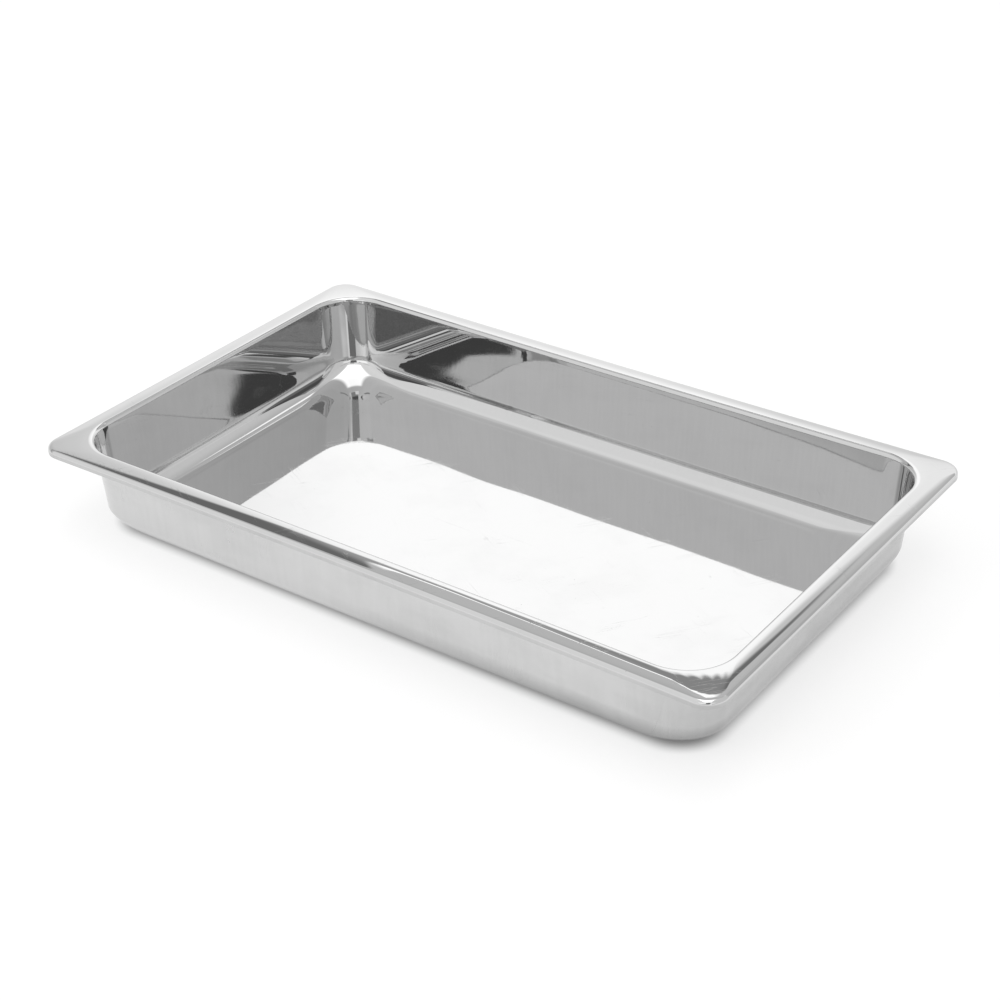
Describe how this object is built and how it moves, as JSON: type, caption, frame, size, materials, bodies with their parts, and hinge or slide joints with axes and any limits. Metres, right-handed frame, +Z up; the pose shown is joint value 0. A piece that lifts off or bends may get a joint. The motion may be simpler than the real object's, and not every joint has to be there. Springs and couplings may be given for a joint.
{
  "type": "deli food pan",
  "caption": "Full-size rectangular stainless steel food pan, 65 mm deep, with rounded corners, sloping walls and a turned-down rim that hangs in a counter well or on runners.",
  "frame": {"origin": "centre of the footprint, on the plane that the base stands on", "axes": "+X along the long side, +Y along the short side, +Z up out of the open top"},
  "size_m": [0.53, 0.325, 0.0655],
  "materials": {
    "stainless_steel": "bright mirror polish inside and on the rim, fine satin polish outside"
  },
  "bodies": {
    "root": {"pan": "stainless_steel"}
  },
  "joints": []
}
